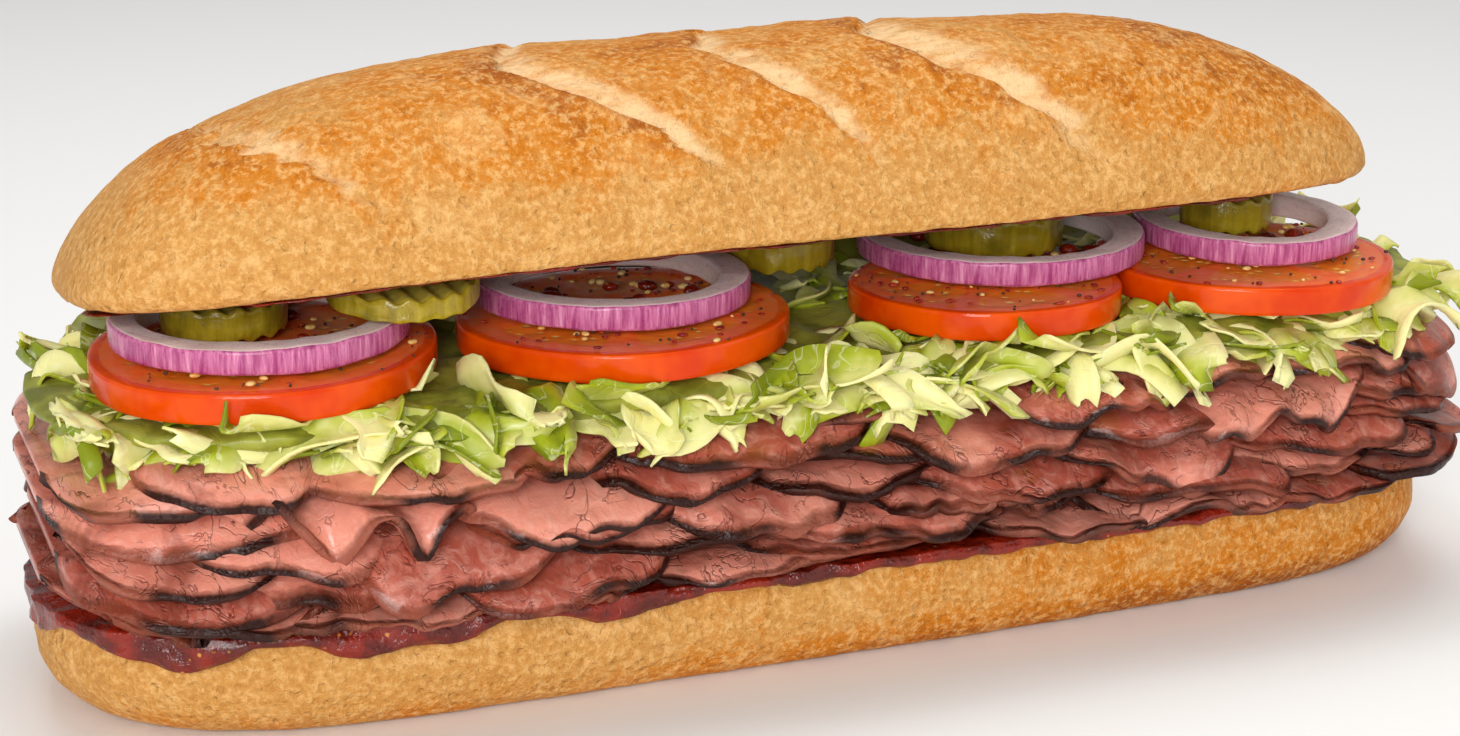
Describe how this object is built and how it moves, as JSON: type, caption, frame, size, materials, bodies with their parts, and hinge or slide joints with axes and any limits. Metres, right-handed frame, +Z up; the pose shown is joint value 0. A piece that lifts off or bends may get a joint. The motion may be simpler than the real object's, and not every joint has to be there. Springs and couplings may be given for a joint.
{
  "type": "submarine sandwich",
  "caption": "Long bread roll split lengthwise and filled with folded roast beef slices, sauce, shredded lettuce, tomato, red onion rings and pickle slices.",
  "frame": {"origin": "on the resting surface, under the middle of the sandwich's length and depth", "axes": "+X along the bread, towards the end that lies to the right of the shown side; +Z up; -Y towards the shown open side"},
  "size_m": [0.311, 0.1072, 0.1207],
  "materials": {
    "bread_base": "soft pale golden crust, dry and matte",
    "bread_crust": "browned bread crust, finely pitted, faint sheen",
    "barbecue_sauce": "thick dark red-brown sauce, wet gloss",
    "roast_beef": "moist rosy meat with a dark crust along the rim",
    "lettuce_leaf": "crisp pale green leaf, slight gloss",
    "tomato": "wet red-orange flesh and smooth skin",
    "red_onion": "crisp, purple outer side and pale cut faces",
    "pickle": "wet olive green, crinkle cut"
  },
  "bodies": {
    "root": {"bottom_bun": "bread_base", "sauce_layer": "barbecue_sauce", "beef_01": "roast_beef", "beef_02": "roast_beef", "beef_03": "roast_beef", "beef_04": "roast_beef", "beef_05": "roast_beef", "beef_06": "roast_beef", "beef_07": "roast_beef", "beef_08": "roast_beef", "beef_09": "roast_beef", "beef_10": "roast_beef", "beef_11": "roast_beef", "beef_12": "roast_beef", "beef_13": "roast_beef", "beef_14": "roast_beef", "beef_15": "roast_beef", "beef_16": "roast_beef", "beef_17": "roast_beef", "beef_18": "roast_beef", "beef_19": "roast_beef", "beef_20": "roast_beef", "beef_21": "roast_beef", "beef_22": "roast_beef", "beef_23": "roast_beef", "beef_24": "roast_beef", "beef_25": "roast_beef", "lettuce": "lettuce_leaf", "tomato_1": "tomato", "tomato_2": "tomato", "tomato_3": "tomato", "tomato_4": "tomato", "onion_1": "red_onion", "onion_2": "red_onion", "onion_3": "red_onion", "onion_4": "red_onion", "pickle_1": "pickle", "pickle_2": "pickle", "pickle_3": "pickle", "pickle_4": "pickle", "pickle_5": "pickle", "top_bun": "bread_crust"}
  },
  "joints": []
}
